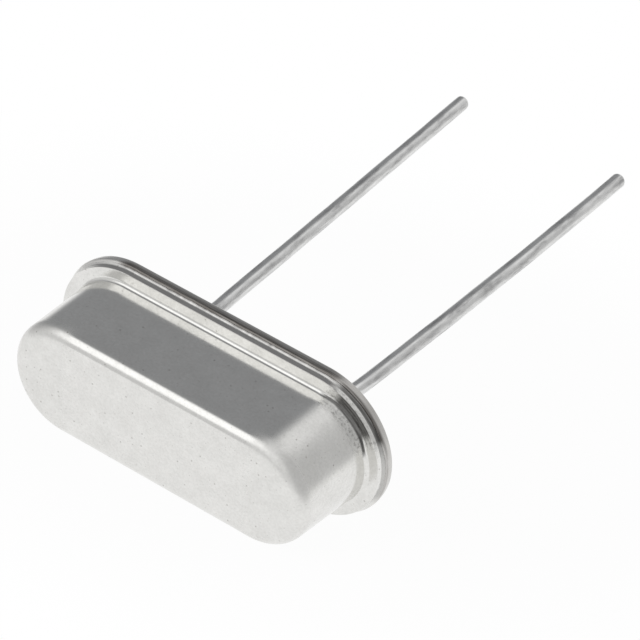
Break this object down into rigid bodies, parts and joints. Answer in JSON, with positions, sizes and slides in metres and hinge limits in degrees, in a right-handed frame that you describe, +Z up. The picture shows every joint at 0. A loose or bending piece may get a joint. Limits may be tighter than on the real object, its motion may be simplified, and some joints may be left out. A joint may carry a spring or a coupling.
{
  "type": "crystal oscillator",
  "caption": "Low obround metal can with a welded flange and straight wire leads, holding a quartz strip that sets an oscillator's frequency.",
  "frame": {"origin": "On the ground under the middle of the part's box, with the part lying on the can's long side", "axes": "+X along the can's length, +Y along the leads away from the can, +Z up"},
  "size_m": [0.011, 0.018, 0.0054],
  "materials": {
    "cover_metal": "satin nickel plate",
    "base_metal": "satin nickel plate",
    "tinned_wire": "dull tin",
    "seal_glass": "dark sealing glass",
    "spring_sheet": "bright nickel silver",
    "quartz": "lapped quartz",
    "silver_film": "vacuum-coated silver",
    "silver_adhesive": "silver-filled epoxy"
  },
  "bodies": {
    "root": {"cover_can": "cover_metal", "base_header": "base_metal", "lead_left": "tinned_wire", "lead_right": "tinned_wire", "glass_seal_left": "seal_glass", "glass_seal_right": "seal_glass", "spring_clip_left": "spring_sheet", "spring_clip_right": "spring_sheet", "quartz_blank": "quartz", "electrode_cover_side": "silver_film", "electrode_base_side": "silver_film", "adhesive_left": "silver_adhesive", "adhesive_right": "silver_adhesive"}
  },
  "joints": []
}
